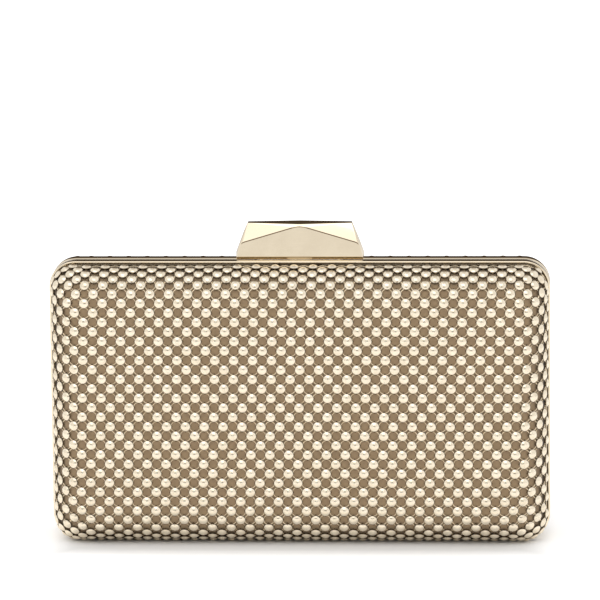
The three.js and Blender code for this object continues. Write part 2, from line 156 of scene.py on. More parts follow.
def studio_world():
    """The room that the metal mirrors: bright in front, dim behind. Seen directly it is plain white."""
    world = bpy.data.worlds.new("studio")
    world.use_nodes = True
    tree = world.node_tree
    direction = joined(tree, "ShaderNodeTexCoord").outputs["Generated"]
    across, depth, height = joined(tree, "ShaderNodeSeparateXYZ", Vector=direction).outputs
    front = maths(tree, "MULTIPLY", depth, -1.0)
    angle = maths(tree, "ARCTAN2", maths(tree, "MAXIMUM", height, 0.0), front)
    share = maths(tree, "DIVIDE", angle, math.pi)
    arch = joined(tree, "ShaderNodeValToRGB", Fac=share)
    stops = arch.color_ramp.elements
    brightest = max(brightness for _, brightness in STUDIO_ARCH)
    for i, (degrees, brightness) in enumerate(STUDIO_ARCH):
        stop = stops[i] if i < 2 else stops.new(degrees / 180)
        stop.position = degrees / 180
        whiteness = min(1, brightness / LIT)
        tint = [part + (1 - part) * whiteness for part in DIM_TINT]
        stop.color = (*[brightness / brightest * part for part in tint], 1)
    aside = ranged(tree, maths(tree, "ABSOLUTE", across), *STUDIO_SIDE_EDGES, 0.0, 1.0)
    sides = (*[STUDIO_SIDES / brightest] * 3, 1)
    light = mixed(tree, aside, arch.outputs["Color"], sides)
    seen = joined(tree, "ShaderNodeLightPath").outputs["Is Camera Ray"]
    background = tree.nodes["Background"]
    background.inputs["Strength"].default_value = brightest
    tree.links.new(mixed(tree, seen, light, WHITE), background.inputs["Color"])
    scene.world = world


studio_world()


def mesh_piece(name, corners, faces, smooth=True):
    """A new object from a list of corners and faces, with no material yet."""
    mesh = bpy.data.meshes.new(name)
    mesh.from_pydata([tuple(corner) for corner in corners], [], faces)
    mesh.validate()
    if smooth:
        mesh.shade_smooth()
    made = bpy.data.objects.new(name, mesh)
    scene.collection.objects.link(made)
    return made


TABLE_HALF = 1.6
TABLE_BACK = 0.5
TABLE_WHITE = (0.9, 0.9, 0.9, 1)
TABLE_GLOW = 0.35
TABLE_GLOW_REACH = 16 * MM
TABLE_GLOW_INSET = 12 * MM
TABLE_CLEAR_DEPTH = 40 * MM
TABLE_CLEAR_SHARES = (0.9, 0.99)
TABLE_ROUGHNESS = 0.9
TABLE_SPECULAR = 0.1


def outside_edge(tree, place, edge):
    """How far a coordinate lies outside an edge on either side."""
    return maths(tree, "SUBTRACT", maths(tree, "ABSOLUTE", place), edge)


def table_finish():
    """Matt white that glows a little away from the bag, so that only the bag's contact shadow is left. The
    opened front half dips below the table, so the table is clear wherever the bag is just beneath it."""
    made = bpy.data.materials.new("table_white")
    made.use_nodes = True
    tree = made.node_tree
    shader = tree.nodes["Principled BSDF"]
    shader.inputs["Base Color"].default_value = TABLE_WHITE
    shader.inputs["Roughness"].default_value = TABLE_ROUGHNESS
    shader.inputs["Specular IOR Level"].default_value = TABLE_SPECULAR
    shader.inputs["Emission Color"].default_value = WHITE
    spot = joined(tree, "ShaderNodeTexCoord").outputs["Object"]
    across, depth, _ = joined(tree, "ShaderNodeSeparateXYZ", Vector=spot).outputs
    beside = outside_edge(tree, across, cad_box[1][0] - TABLE_GLOW_INSET)
    away = maths(tree, "MAXIMUM", beside, outside_edge(tree, depth, cad_box[1][1]))
    glow = ranged(tree, away, 0.0, TABLE_GLOW_REACH, 0.0, TABLE_GLOW)
    tree.links.new(glow, shader.inputs["Emission Strength"])
    beneath = joined(tree, "ShaderNodeAmbientOcclusion", {"inside": True}, Distance=TABLE_CLEAR_DEPTH)
    solid = ranged(tree, beneath.outputs["AO"], *TABLE_CLEAR_SHARES, 0.0, 1.0)
    tree.links.new(solid, shader.inputs["Alpha"])
    return made


table_corners = [(-TABLE_HALF, -TABLE_HALF, 0), (TABLE_HALF, -TABLE_HALF, 0)]
table_corners += [(TABLE_HALF, TABLE_BACK, 0), (-TABLE_HALF, TABLE_BACK, 0)]
table_top = mesh_piece("table_top", table_corners, [(0, 1, 2, 3)])
table_top.data.materials.append(table_finish())


# ---- Frames -----------------------------------------------------------------------------------------
# Two brass rails, L-shaped in section, bent round the bag and plated pale gold. A band goes round the
# outside and a flange crosses the seam face. Hinge seats and the latch's recess are milled into them.

CORNER_STEPS = 14
BAND_THICK = 1.3 * MM
FLANGE_DEPTH = 1.6 * MM
FLANGE_REACH = 5.2 * MM
FRAME_CORNER = 10.5 * MM
RAIL_CREASE = 40
SEAM_BEVEL_DEPTH = 1.1 * MM
SEAM_EASE = 0.25 * MM
SEAM_EASE_MIDDLE = 0.3
FACE_ROUND = 0.5 * MM
LIP_ROUND = 0.6 * MM
EDGE_ROUND_STEPS = 5
FIT_GAP = 0.3 * MM
KNUCKLE_RELIEF = 0.7 * MM
LEAF_THICK = 0.6 * MM
RECESS_HALF = 9 * MM
SLOT_HALF = 5 * MM
BAR_SIDES = 48
BODIES = {"front": "front_half", "rear": "rear_half"}
SIDES = {"front": -1, "rear": 1}


def outline(half, bottom, top, corner, straight=None):
    """A rounded rectangle as (x, z) points. Straight runs are cut into steps of that length."""
    points = []
    centres = (
        (half - corner, top - corner),
        (corner - half, top - corner),
        (corner - half, bottom + corner),
        (half - corner, bottom + corner),
    )
    for quarter, (x, z) in enumerate(centres):
        for i in range(CORNER_STEPS + 1):
            angle = (quarter + i / CORNER_STEPS) * math.pi / 2
            points.append((x + corner * math.cos(angle), z + corner * math.sin(angle)))
        if straight:
            steps = straight[quarter % 2]
            after = centres[(quarter + 1) % 4]
            turn = (quarter + 1) * math.pi / 2
            start = points[-1]
            end = (after[0] + corner * math.cos(turn), after[1] + corner * math.sin(turn))
            for i in range(1, steps):
                share = i / steps
                points.append(tuple(a + (b - a) * share for a, b in zip(start, end)))
    return points


def skin(rings, closed):
    """Corners and faces of a skin over rings. Closed joins its two ends, or else they are capped."""
    count = len(rings[0])
    corners = [point for ring in rings for point in ring]
    faces = []
    for r in range(len(rings) if closed else len(rings) - 1):
        here = r * count
        there = (r + 1) % len(rings) * count
        for i in range(count):
            j = (i + 1) % count
            faces.append((here + i, here + j, there + j, there + i))
    if not closed:
        faces.append(tuple(reversed(range(count))))
        faces.append(tuple(range(len(corners) - count, len(corners))))
    return corners, faces


def outward(piece):
    """Turns a closed piece's faces so that they all look out."""
    work = bmesh.new()
    work.from_mesh(piece.data)
    bmesh.ops.recalc_face_normals(work, faces=work.faces)
    work.to_mesh(piece.data)
    work.free()
    return piece


def apply_modifiers(piece):
    """Keeps what the modifiers make as the piece's own mesh."""
    bpy.context.view_layer.update()
    graph = bpy.context.evaluated_depsgraph_get()
    finished = bpy.data.meshes.new_from_object(piece.evaluated_get(graph))
    piece.modifiers.clear()
    piece.data = finished
    return piece


def block(name, low, high):
    """A box between two corners, used to mill a piece."""
    ends = (low, high)
    corners = [(a[0], b[1], c[2]) for a in ends for b in ends for c in ends]
    faces = [(0, 1, 3, 2), (4, 6, 7, 5), (0, 4, 5, 1), (2, 3, 7, 6), (0, 2, 6, 4), (1, 5, 7, 3)]
    return outward(mesh_piece(name, corners, faces, smooth=False))


def round_bar(name, radius, x0, x1, y, z):
    """A round bar along X, used to mill a piece."""
    turns = [i * 2 * math.pi / BAR_SIDES for i in range(BAR_SIDES)]
    rings = [[(x, y + radius * math.cos(a), z + radius * math.sin(a)) for a in turns] for x in (x0, x1)]
    return outward(mesh_piece(name, *skin(rings, False), smooth=False))


def mill(piece, cutters):
    """Cuts the cutters out of a piece and takes them away."""
    for cutter in cutters:
        cut = piece.modifiers.new("cut", "BOOLEAN")
        cut.operation = "DIFFERENCE"
        cut.solver = "EXACT"
        cut.object = cutter
    apply_modifiers(piece)
    for cutter in cutters:
        bpy.data.objects.remove(cutter)
    return piece


def sharp_where(piece, degrees):
    """Smooth shading, with edges sharper than the given angle left crisp."""
    piece.data.shade_smooth()
    piece.data.set_sharp_from_angle(angle=math.radians(degrees))
    return piece


def rail_section(near, far):
    """The L section as (inset, depth) points: a bevel along the seam, and a lip with both edges rounded."""
    points = [
        (BAND_THICK, near),
        (SEAM_EASE, near + SEAM_BEVEL_DEPTH * (1 - SEAM_EASE / BAND_THICK)),
        (SEAM_EASE * SEAM_EASE_MIDDLE, near + SEAM_BEVEL_DEPTH + SEAM_EASE * SEAM_EASE_MIDDLE),
        (0, near + SEAM_BEVEL_DEPTH + SEAM_EASE),
    ]
    for i in range(EDGE_ROUND_STEPS + 1):
        turn = i / EDGE_ROUND_STEPS * math.pi / 2
        inset = FACE_ROUND * (1 - math.cos(turn))
        points.append((inset, far - FACE_ROUND * (1 - math.sin(turn))))
    for i in range(EDGE_ROUND_STEPS + 1):
        turn = i / EDGE_ROUND_STEPS * math.pi / 2
        inset = BAND_THICK - LIP_ROUND * (1 - math.sin(turn))
        points.append((inset, far - LIP_ROUND * (1 - math.cos(turn))))
    inner = near + FLANGE_DEPTH
    points += [(BAND_THICK, inner), (FLANGE_REACH, inner), (FLANGE_REACH, near)]
    return points


def seam_distance(low, high):
    """How far from the seam plane a piece of one half begins."""
    return min(abs(low[1]), abs(high[1]))


def hinge_cutters(side):
    """The hinge seats in one frame: for each hinge, a round one for the knuckles and a shallow leaf seat."""
    cutters = []
    leaf_depth = seam_distance(*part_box(side + "_frame")) + LEAF_THICK + FIT_GAP
    for end in ("left", "right"):
        pin_low, pin_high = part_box("hinge_pin_" + end)
        leaf_low, leaf_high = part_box(f"hinge_{side}_leaf_{end}")
        z = (pin_low[2] + pin_high[2]) / 2
        knuckle = (pin_high[2] - pin_low[2]) / 2 + KNUCKLE_RELIEF
        x0 = leaf_low[0] - FIT_GAP
        x1 = leaf_high[0] + FIT_GAP
        cutters.append(round_bar("seat", knuckle + FIT_GAP, x0, x1, 0, z))
        back = SIDES[side] * leaf_depth
        top = leaf_high[2] + FIT_GAP
        cutters.append(block("leaf_seat", (x0, min(0, back), z), (x1, max(0, back), top)))
    return cutters


def latch_cutters(side):
    """The recess through the flanges for the catch, and in the rear band the slot for the hook."""
    low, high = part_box(side + "_frame")
    inside = high[2] - BAND_THICK
    depth = SIDES[side] * (seam_distance(low, high) + FLANGE_DEPTH + FIT_GAP)
    foot = high[2] - FLANGE_REACH - MM
    cutters = [block("recess", (-RECESS_HALF, min(0, depth), foot), (RECESS_HALF, max(0, depth), inside))]
    if side == "rear":
        slot_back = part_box("clasp_hook")[1][1] + FIT_GAP
        cutters.append(block("slot", (-SLOT_HALF, -MM, inside - MM), (SLOT_HALF, slot_back, high[2] + MM)))
    return cutters


def coordinates(tree):
    """The piece's own coordinates, in metres."""
    return joined(tree, "ShaderNodeTexCoord").outputs["Object"]


def new_finish(name, **inputs):
    """A material and its shader's node tree, with plain values set on the shader's own sockets."""
    made = bpy.data.materials.new(name)
    made.use_nodes = True
    tree = made.node_tree
    shader = tree.nodes["Principled BSDF"]
    for key, value in inputs.items():
        shader.inputs[key.replace("_", " ")].default_value = value
    return made, tree, shader


def mottle(tree, grain, detail=3.0, stretch=(1, 1, 1)):
    """Cloudy noise whose patches are about grain metres across, longer along any axis that is stretched."""
    scaled = joined(tree, "ShaderNodeMapping", Vector=coordinates(tree), Scale=stretch).outputs[0]
    return joined(tree, "ShaderNodeTexNoise", Vector=scaled, Scale=1 / grain, Detail=detail).outputs[0]


NOISE_SPREAD = (0.3, 0.7)
NOISE_MIDDLE = (0.35, 0.65)


def clouded(tree, grain, tones, detail=3.0, spread=NOISE_SPREAD):
    """A colour that drifts between two tones, in patches about grain metres across."""
    cloud = ranged(tree, mottle(tree, grain, detail), *spread, 0, 1)
    return mixed(tree, cloud, *[(*tone, 1) for tone in tones])


def uneven(tree, pattern, limits):
    """A value that follows a noise pattern between two limits."""
    return ranged(tree, pattern, *NOISE_SPREAD, *limits)


def raised(tree, height, distance, strength):
    """A bump from a height value."""
    bump = joined(tree, "ShaderNodeBump", Height=height, Distance=distance, Strength=strength)
    return bump.outputs["Normal"]


def dressed(finish, colour, roughness, surface):
    """The material, once its colour, roughness and surface are joined to its shader."""
    made, tree, shader = finish
    tree.links.new(colour, shader.inputs["Base Color"])
    tree.links.new(roughness, shader.inputs["Roughness"])
    tree.links.new(surface, shader.inputs["Normal"])
    return made


GILT_TONES = ((0.80, 0.69, 0.52), (0.83, 0.72, 0.545))
GILT_ROUGHNESS = (0.04, 0.09)
POLISHING = {"detail": 4.0, "stretch": (0.04, 1, 1)}


def gilt_finish():
    """Pale gold plate: faint clouding in the colour, hairline polishing marks, and a soft unevenness."""
    finish = new_finish("polished_gilt", Metallic=1.0)
    tree = finish[1]
    hairlines = mottle(tree, 0.25 * MM, **POLISHING)
    colour = clouded(tree, 9 * MM, GILT_TONES, spread=NOISE_MIDDLE)
    gloss = uneven(tree, hairlines, GILT_ROUGHNESS)
    return dressed(finish, colour, gloss, raised(tree, hairlines, 0.002 * MM, 0.25))


polished_gilt = gilt_finish()
for side, sign in SIDES.items():
    low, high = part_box(side + "_frame")
    near = seam_distance(low, high)
    far = max(abs(low[1]), abs(high[1]))
    rings = []
    for inset, depth in rail_section(near, far):
        path = outline(high[0] - inset, low[2] + inset, high[2] - inset, FRAME_CORNER - inset)
        rings.append([(x, sign * depth, z) for x, z in path])
    rail = outward(mesh_piece(side + "_rail", *skin(rings, True)))
    mill(rail, hinge_cutters(side) + latch_cutters(side))
    sharp_where(rail, RAIL_CREASE)
    rail.data.materials.clear()
    rail.data.materials.append(polished_gilt)
    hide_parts(side + "_frame")
    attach(rail, BODIES[side])


# ---- Moulded shells ---------------------------------------------------------------------------------
# Each half has a thin tray moulded in plastic, with rolled edges and a slightly crowned face. It slips into
# the frame's L section and is cemented there. The covering and the lining both follow its shape.

SHELL_THICK = 1.8 * MM
EDGE_RADIUS = 14 * MM
TRAY_CORNER = 10.1 * MM
CORNER_GROWTH = 0.35
CROWN = 1 * MM
CROWN_REACH = 45 * MM
CORE_CORNER = TRAY_CORNER + CORNER_GROWTH * EDGE_RADIUS
CORNER_LIMIT = 0.9
TRAY_CREASE = 50
CATCH_ROOM_DEPTH = 5 * MM
CATCH_ROOM_EASE = (1.8 * MM, 0.4 * MM)
EDGE_STEPS = 14
CROWN_STEP = 4 * MM
STRAIGHT_STEPS = (44, 24)
UNDER = {"fabric": 1.65 * MM, "shell": 2.2 * MM, "lining": 4.15 * MM}

cover_low, cover_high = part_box("rear_mesh_cover")
TRAY_HALF = cover_high[0]
TRAY_TOP = cover_high[2]
TRAY_FACE = cover_high[1]
TRAY_MIDDLE = TRAY_TOP / 2


def crown_left(inset):
    """How far the face still is below its flat middle, at a distance in from the tray's outline."""
    return CROWN * max(0, 1 - inset / CROWN_REACH) ** 2


def tray_rings(under, rim, sign):
    """Rings from the rim, round the rolled edge and in over the face, at a depth under the outside."""
    radius = EDGE_RADIUS - under
    rings = [(under, TRAY_CORNER - under, rim)]
    for i in range(EDGE_STEPS + 1):
        turn = i / EDGE_STEPS * math.pi / 2
        outer = EDGE_RADIUS * (1 - math.cos(turn))
        depth = TRAY_FACE - under - radius * (1 - math.sin(turn)) - crown_left(outer)
        corner = TRAY_CORNER + CORNER_GROWTH * outer - under
        rings.append((under + radius * (1 - math.cos(turn)), corner, depth))
    inset = EDGE_RADIUS + CROWN_STEP
    while inset < TRAY_MIDDLE - CROWN_STEP / 2:
        corner = min(CORE_CORNER - under, (TRAY_MIDDLE - inset) * CORNER_LIMIT)
        rings.append((inset, corner, TRAY_FACE - under - crown_left(inset)))
        inset += CROWN_STEP
    made = []
    for inset, corner, depth in rings:
        path = outline(TRAY_HALF - inset, inset, TRAY_TOP - inset, corner, STRAIGHT_STEPS)
        made.append([(x, sign * depth, z) for x, z in path])
    return made


def tray_layer(name, side, under, rim, thick, cutters=()):
    """One layer of a half, as a closed thin tray."""
    sign = SIDES[side]
    outside = tray_rings(under, rim, sign)
    inside = tray_rings(under + thick, rim, sign)
    layer = outward(mesh_piece(name, *skin(outside[::-1] + inside, False)))
    if cutters:
        mill(layer, cutters)
    return sharp_where(layer, TRAY_CREASE)


def catch_recess():
    """Room for the catch's tongue in the top edge of the rear half."""
    frame_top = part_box("rear_frame")[1][2]
    foot = frame_top - FLANGE_REACH - CATCH_ROOM_EASE[0]
    top = frame_top - CATCH_ROOM_EASE[1]
    return block("catch_recess", (-RECESS_HALF, -MM, foot), (RECESS_HALF, CATCH_ROOM_DEPTH, top))


PLASTIC_TONES = ((0.36, 0.31, 0.25), (0.42, 0.37, 0.30))
PLASTIC_ROUGHNESS = (0.42, 0.58)


def moulded_finish():
    """Warm grey moulded plastic with a fine eggshell surface and faint flow clouding."""
    finish = new_finish("moulded_plastic")
    tree = finish[1]
    grain = mottle(tree, 0.4 * MM)
    gloss = uneven(tree, grain, PLASTIC_ROUGHNESS)
    return dressed(finish, clouded(tree, 14 * MM, PLASTIC_TONES), gloss, raised(tree, grain, 0.02 * MM, 0.3))


moulded_plastic = moulded_finish()
for side in SIDES:
    rim = seam_distance(*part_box(side + "_shell"))
    cutters = [catch_recess()] if side == "rear" else []
    shell = tray_layer(side + "_moulded_tray", side, UNDER["shell"], rim, SHELL_THICK, cutters)
    shell.data.materials.append(moulded_plastic)
    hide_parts(side + "_shell")
    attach(shell, BODIES[side])


# ---- Backing cloth ----------------------------------------------------------------------------------
# A plain-woven taupe cloth is stretched over each tray and glued round its edge. It shows as a small round
# patch inside every ring of the mesh.

CLOTH_THICK = 0.4 * MM
THREAD_PITCH = 0.32 * MM
# Painted shade on the cloth round the rolled edge near the seam, fading out between these depths.
CLOTH_SHADE_DEPTHS = (9 * MM, 20 * MM)
CLOTH_PAINTED_SHADE = (0.06, 0.038, 0.018, 1)
CLOTH_TONES = ((0.268, 0.181, 0.100, 1), (0.352, 0.248, 0.142, 1))
CLOTH_ROUGHNESS = (0.8, 0.95)
WEAVE_SHARE = 0.25
WEAVE_SPREAD = (0.2, 0.8)


def woven(tree):
    """Two sets of threads crossing on the face, as one height."""
    across, _, up = joined(tree, "ShaderNodeSeparateXYZ", Vector=coordinates(tree)).outputs
    rate = 2 * math.pi / THREAD_PITCH
    warp = maths(tree, "SINE", maths(tree, "MULTIPLY", across, rate))
    weft = maths(tree, "SINE", maths(tree, "MULTIPLY", up, rate))
    return maths(tree, "MULTIPLY", warp, weft)


def cloth_finish():
    """Taupe cotton with a visible weave, slubs and a slight nap, with painted shade darkening it towards the
    seam, round the rolled edge.
    """
    finish = new_finish("taupe_cotton", Sheen_Weight=0.25, Sheen_Roughness=0.5)
    tree = finish[1]
    weave = woven(tree)
    slub = mottle(tree, 1.6 * MM, 4.0)
    thread_tone = maths(tree, "ADD", maths(tree, "MULTIPLY", weave, WEAVE_SHARE), slub)
    unshaded_cloth = mixed(tree, ranged(tree, thread_tone, *WEAVE_SPREAD, 0, 1), *CLOTH_TONES)
    # Painted shade: the cloth is darkened towards the seam, round the rolled edge, where the crowded domes
    # shade it.
    depth = joined(tree, "ShaderNodeSeparateXYZ", Vector=coordinates(tree)).outputs[1]
    out_of_shade = ranged(tree, maths(tree, "ABSOLUTE", depth), *CLOTH_SHADE_DEPTHS, 0.0, 1.0)
    colour = mixed(tree, out_of_shade, CLOTH_PAINTED_SHADE, unshaded_cloth)
    return dressed(finish, colour, uneven(tree, slub, CLOTH_ROUGHNESS), raised(tree, weave, 0.06 * MM, 0.5))


taupe_cotton = cloth_finish()
for side in SIDES:
    rim = seam_distance(*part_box(side + "_backing_fabric"))
    cloth = tray_layer(side + "_backing_cloth", side, UNDER["fabric"], rim, CLOTH_THICK)
    cloth.data.materials.append(taupe_cotton)
    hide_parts(side + "_backing_fabric")
    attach(cloth, BODIES[side])


# ---- Studded mesh -----------------------------------------------------------------------------------
# Pressed domes in staggered rows, joined by small rings: each dome's four prongs are bent round the four
# rings beside it. The mesh is bright pale gold, and is glued over the cloth with its lattice a little askew.

DOME_PITCH = 7.56 * MM
DOME_RADIUS = 2.06 * MM
DOME_HEIGHT = 0.9 * MM
DOME_RIM = 0.36 * MM
DOME_RIM_ANGLE = 50
DOME_SIDES = 14
DOME_STEPS = 4
RING_RADIUS = 2.13 * MM
RING_WIRE = 0.23 * MM
RING_UNDER = 1.3 * MM
RING_SIDES = 16
WIRE_SIDES = 5
PRONG_REACH = 0.26 * MM
PRONG_HALF_ROOT = 0.36 * MM
PRONG_HALF_TIP = 0.2 * MM
PRONG_THICK = 0.22 * MM
PRONG_ROOT_SHARE = 0.80
PRONG_KNEE_SHARE = 0.45
PRONG_FACES = (
    (0, 1, 3, 2), (2, 3, 5, 4), (1, 0, 6, 7), (0, 2, 8, 6), (2, 4, 8), (3, 1, 7, 9), (5, 3, 9), (4, 5, 9, 8),
)
# How lit the dome's last ring stays, against the painted shade under its rim.
RIM_LIT_SHARE = 0.2
STUD_CREASE = 35
LATTICE_LEAN = 0.028
LATTICE_STRETCH = 1.02
LATTICE_SHIFT = (0.33 * MM, 0.47 * MM)
MESH_REACH = EDGE_RADIUS * math.pi / 2 - 0.1 * MM
CROWDING = 0.80
GATHER_FROM = 8 * MM
GATHER_SHARE = 0.74
CORE_HALF = TRAY_HALF - EDGE_RADIUS
CORE_HIGH = TRAY_MIDDLE - EDGE_RADIUS
LAY_STEP = 0.4 * MM
NEIGHBOURS = 400
# Painted shade: the dark colour on the domes' skirts and prongs, where shade falls under the caps.
RIM_PAINTED_SHADE = (0.13, 0.09, 0.05, 1)
DOME_TONES = ((0.81, 0.71, 0.55), (0.90, 0.80, 0.64))
DOME_ROUGHNESS = (0.17, 0.28)
RING_TONES = ((0.74, 0.60, 0.41), (0.88, 0.74, 0.53))
RING_ROUGHNESS = (0.2, 0.3)
LIT_SPREAD = (0.15, 0.75)


def dome_stud():
    """One stud, standing on z = 0 outside: a domed cap whose rim turns down into four prongs."""
    corners = [(0, 0, 0)]
    faces = []
    rim_angle = math.radians(DOME_RIM_ANGLE)
    sphere = DOME_RADIUS / math.sin(rim_angle)
    squeeze = DOME_HEIGHT / (sphere * (1 - math.cos(rim_angle)))
    for step in range(1, DOME_STEPS + 1):
        angle = rim_angle * step / DOME_STEPS
        for side in range(DOME_SIDES):
            turn = side * 2 * math.pi / DOME_SIDES
            across = sphere * math.sin(angle)
            drop = sphere * (1 - math.cos(angle)) * squeeze
            corners.append((across * math.cos(turn), across * math.sin(turn), -drop))
    for side in range(DOME_SIDES):
        after = (side + 1) % DOME_SIDES
        faces.append((0, 1 + side, 1 + after))
        for step in range(DOME_STEPS - 1):
            here = 1 + step * DOME_SIDES
            there = here + DOME_SIDES
            faces.append((here + side, there + side, there + after, here + after))
    last = 1 + (DOME_STEPS - 1) * DOME_SIDES
    skirt = len(corners)
    for x, y, z in corners[last:]:
        corners.append((x, y, z - DOME_RIM))
    for side in range(DOME_SIDES):
        after = (side + 1) % DOME_SIDES
        faces.append((last + side, skirt + side, skirt + after, last + after))
    faces.append(tuple(reversed(range(skirt, skirt + DOME_SIDES))))
    for quarter in range(4):
        faces += [tuple(i + len(corners) for i in face) for face in PRONG_FACES]
        corners += [turned(point, quarter * math.pi / 2) for point in prong_points()]
    # Painted shade: the cap is lit, its rim ring mostly darkened, and the skirt and prongs dark.
    lit_share = [1.0] * last + [RIM_LIT_SHARE] * DOME_SIDES
    lit_share += [0.0] * (len(corners) - len(lit_share))
    return np.array(corners), faces, lit_share


def turned(point, angle):
    """A point turned about the stud's axis."""
    x, y, z = point
    return (x * math.cos(angle) - y * math.sin(angle), x * math.sin(angle) + y * math.cos(angle), z)


def prong_points():
    """A prong along +X: it leaves the cap under its rim, bends over the ring and ends in the ring's hole."""
    root = DOME_RADIUS * PRONG_ROOT_SHARE
    knee = DOME_RADIUS + PRONG_REACH * PRONG_KNEE_SHARE
    tip = DOME_RADIUS + PRONG_REACH
    top = -DOME_HEIGHT - DOME_RIM * 0.3
    knee_top = -DOME_HEIGHT - DOME_RIM
    foot = -RING_UNDER - RING_WIRE * 0.6
    middle = (PRONG_HALF_ROOT + PRONG_HALF_TIP) / 2
    return [
        (root, -PRONG_HALF_ROOT, top), (root, PRONG_HALF_ROOT, top),
        (knee, -middle, knee_top), (knee, middle, knee_top),
        (tip, -PRONG_HALF_TIP, foot), (tip, PRONG_HALF_TIP, foot),
        (root, -PRONG_HALF_ROOT, top - PRONG_THICK), (root, PRONG_HALF_ROOT, top - PRONG_THICK),
        (knee - PRONG_THICK, -PRONG_HALF_TIP, foot), (knee - PRONG_THICK, PRONG_HALF_TIP, foot),
    ]


def wire_ring():
    """One ring of the mesh, lying under the level of the domes."""
    corners = []
    faces = []
    for i in range(RING_SIDES):
        turn = (i + 0.5) * 2 * math.pi / RING_SIDES
        for j in range(WIRE_SIDES):
            around = j * 2 * math.pi / WIRE_SIDES
            across = RING_RADIUS + RING_WIRE * math.cos(around)
            height = RING_WIRE * math.sin(around) - RING_UNDER
            corners.append((across * math.cos(turn), across * math.sin(turn), height))
            after = (i + 1) % RING_SIDES * WIRE_SIDES
            k = (j + 1) % WIRE_SIDES
            faces.append((i * WIRE_SIDES + j, after + j, after + k, i * WIRE_SIDES + k))
    return np.array(corners), faces, [1.0] * len(corners)


def outside_tree(sign):
    """The outside of one half as a search tree, for laying the mesh on it."""
    corners, faces = skin(tray_rings(0, cover_low[1], sign), False)
    return BVHTree.FromPolygons(corners, faces[:-2] + faces[-1:])


def laid(across, up, sign, tree):
    """Where a point of the flat mesh lands: straight over the face, then round the rolled edge."""
    core = Vector((max(-CORE_HALF, min(CORE_HALF, across)), max(-CORE_HIGH, min(CORE_HIGH, up))))
    beyond = Vector((across, up)) - core
    reach = beyond.length
    if reach < 1e-9:
        spot = Vector((across, sign * TRAY_FACE, TRAY_MIDDLE + up))
    else:
        turn = min(reach / EDGE_RADIUS, math.pi / 2)
        out = beyond.normalized() * EDGE_RADIUS * math.sin(turn)
        past = max(0, reach - EDGE_RADIUS * math.pi / 2)
        depth = TRAY_FACE - EDGE_RADIUS * (1 - math.cos(turn)) - past
        spot = Vector((core.x + out.x, sign * (depth - CROWN), TRAY_MIDDLE + core.y + out.y))
    return tree.find_nearest(spot)[0]


def placed(across, up, sign, tree):
    """The place and the three axes of a stud or ring laid at a point of the flat mesh."""
    right = laid(across + LAY_STEP, up, sign, tree) - laid(across - LAY_STEP, up, sign, tree)
    rise = laid(across, up + LAY_STEP, sign, tree) - laid(across, up - LAY_STEP, sign, tree)
    out = right.cross(rise).normalized() * -sign
    right = (right - out * right.dot(out)).normalized()
    rise = out.cross(right)
    return laid(across, up, sign, tree), right, rise, out


def gathered(up):
    """Where a row of the mesh lies: the rows draw closer together where they are tucked in round the edge."""
    start = CORE_HIGH + GATHER_FROM
    if abs(up) <= start:
        return up
    return math.copysign(start + (abs(up) - start) * GATHER_SHARE, up)


def lattice(odd):
    """Points of the flat mesh: the domes' places, or for odd ones the rings'."""
    half_pitch = DOME_PITCH / 2
    columns = int((CORE_HALF + MESH_REACH) / half_pitch) + 2
    rows = int((CORE_HIGH + MESH_REACH / GATHER_SHARE) / half_pitch) + 2
    for row in range(-rows, rows + 1):
        for column in range(-columns, columns + 1):
            if (row + column) % 2 == odd:
                up = gathered(row * half_pitch * LATTICE_STRETCH + LATTICE_SHIFT[1])
                across = column * half_pitch + LATTICE_SHIFT[0] + LATTICE_LEAN * up
                beyond = math.hypot(max(0, abs(across) - CORE_HALF), max(0, abs(up) - CORE_HIGH))
                if beyond < MESH_REACH:
                    yield across, up


def scattered(name, pattern, places):
    """Copies of one small shape at many places, as one piece that keeps how much each corner is lit against
    painted shade.
    """
    shape, shape_faces, lit_share = pattern
    corners = []
    faces = []
    for place, right, rise, out in places:
        axes = np.array([right, rise, out])
        faces += [tuple(i + len(corners) * len(shape) for i in face) for face in shape_faces]
        corners.append(shape @ axes + np.array(place))
    made = mesh_piece(name, np.concatenate(corners), faces)
    made.data.attributes.new("lit_share", "FLOAT", "POINT").data.foreach_set("value", lit_share * len(places))
    return made


def spaced(places, closest):
    """Leaves out a place too near one already kept, as happens at the corners, where the mesh is cut."""
    kept = []
    for item in places:
        if all((item[0] - other[0]).length > closest for other in kept[-NEIGHBOURS:]):
            kept.append(item)
    return kept


def stud_finish(name, tones, gloss):
    """Plated metal, lightly clouded, with painted shade that darkens the dome's rim and prongs under the cap.
    """
    finish = new_finish(name, Metallic=1.0)
    tree = finish[1]
    fine = mottle(tree, 0.5 * MM)
    lit_share = joined(tree, "ShaderNodeAttribute", {"attribute_name": "lit_share"}).outputs["Fac"]
    unshaded = ranged(tree, lit_share, *LIT_SPREAD, 0, 1)
    # Painted shade darkens the dome's rim and prongs. The rings stay fully lit.
    colour = mixed(tree, unshaded, RIM_PAINTED_SHADE, clouded(tree, 2.6 * MM, tones, 2.0))
    return dressed(finish, colour, uneven(tree, fine, gloss), raised(tree, fine, 0.03 * MM, 0.25))


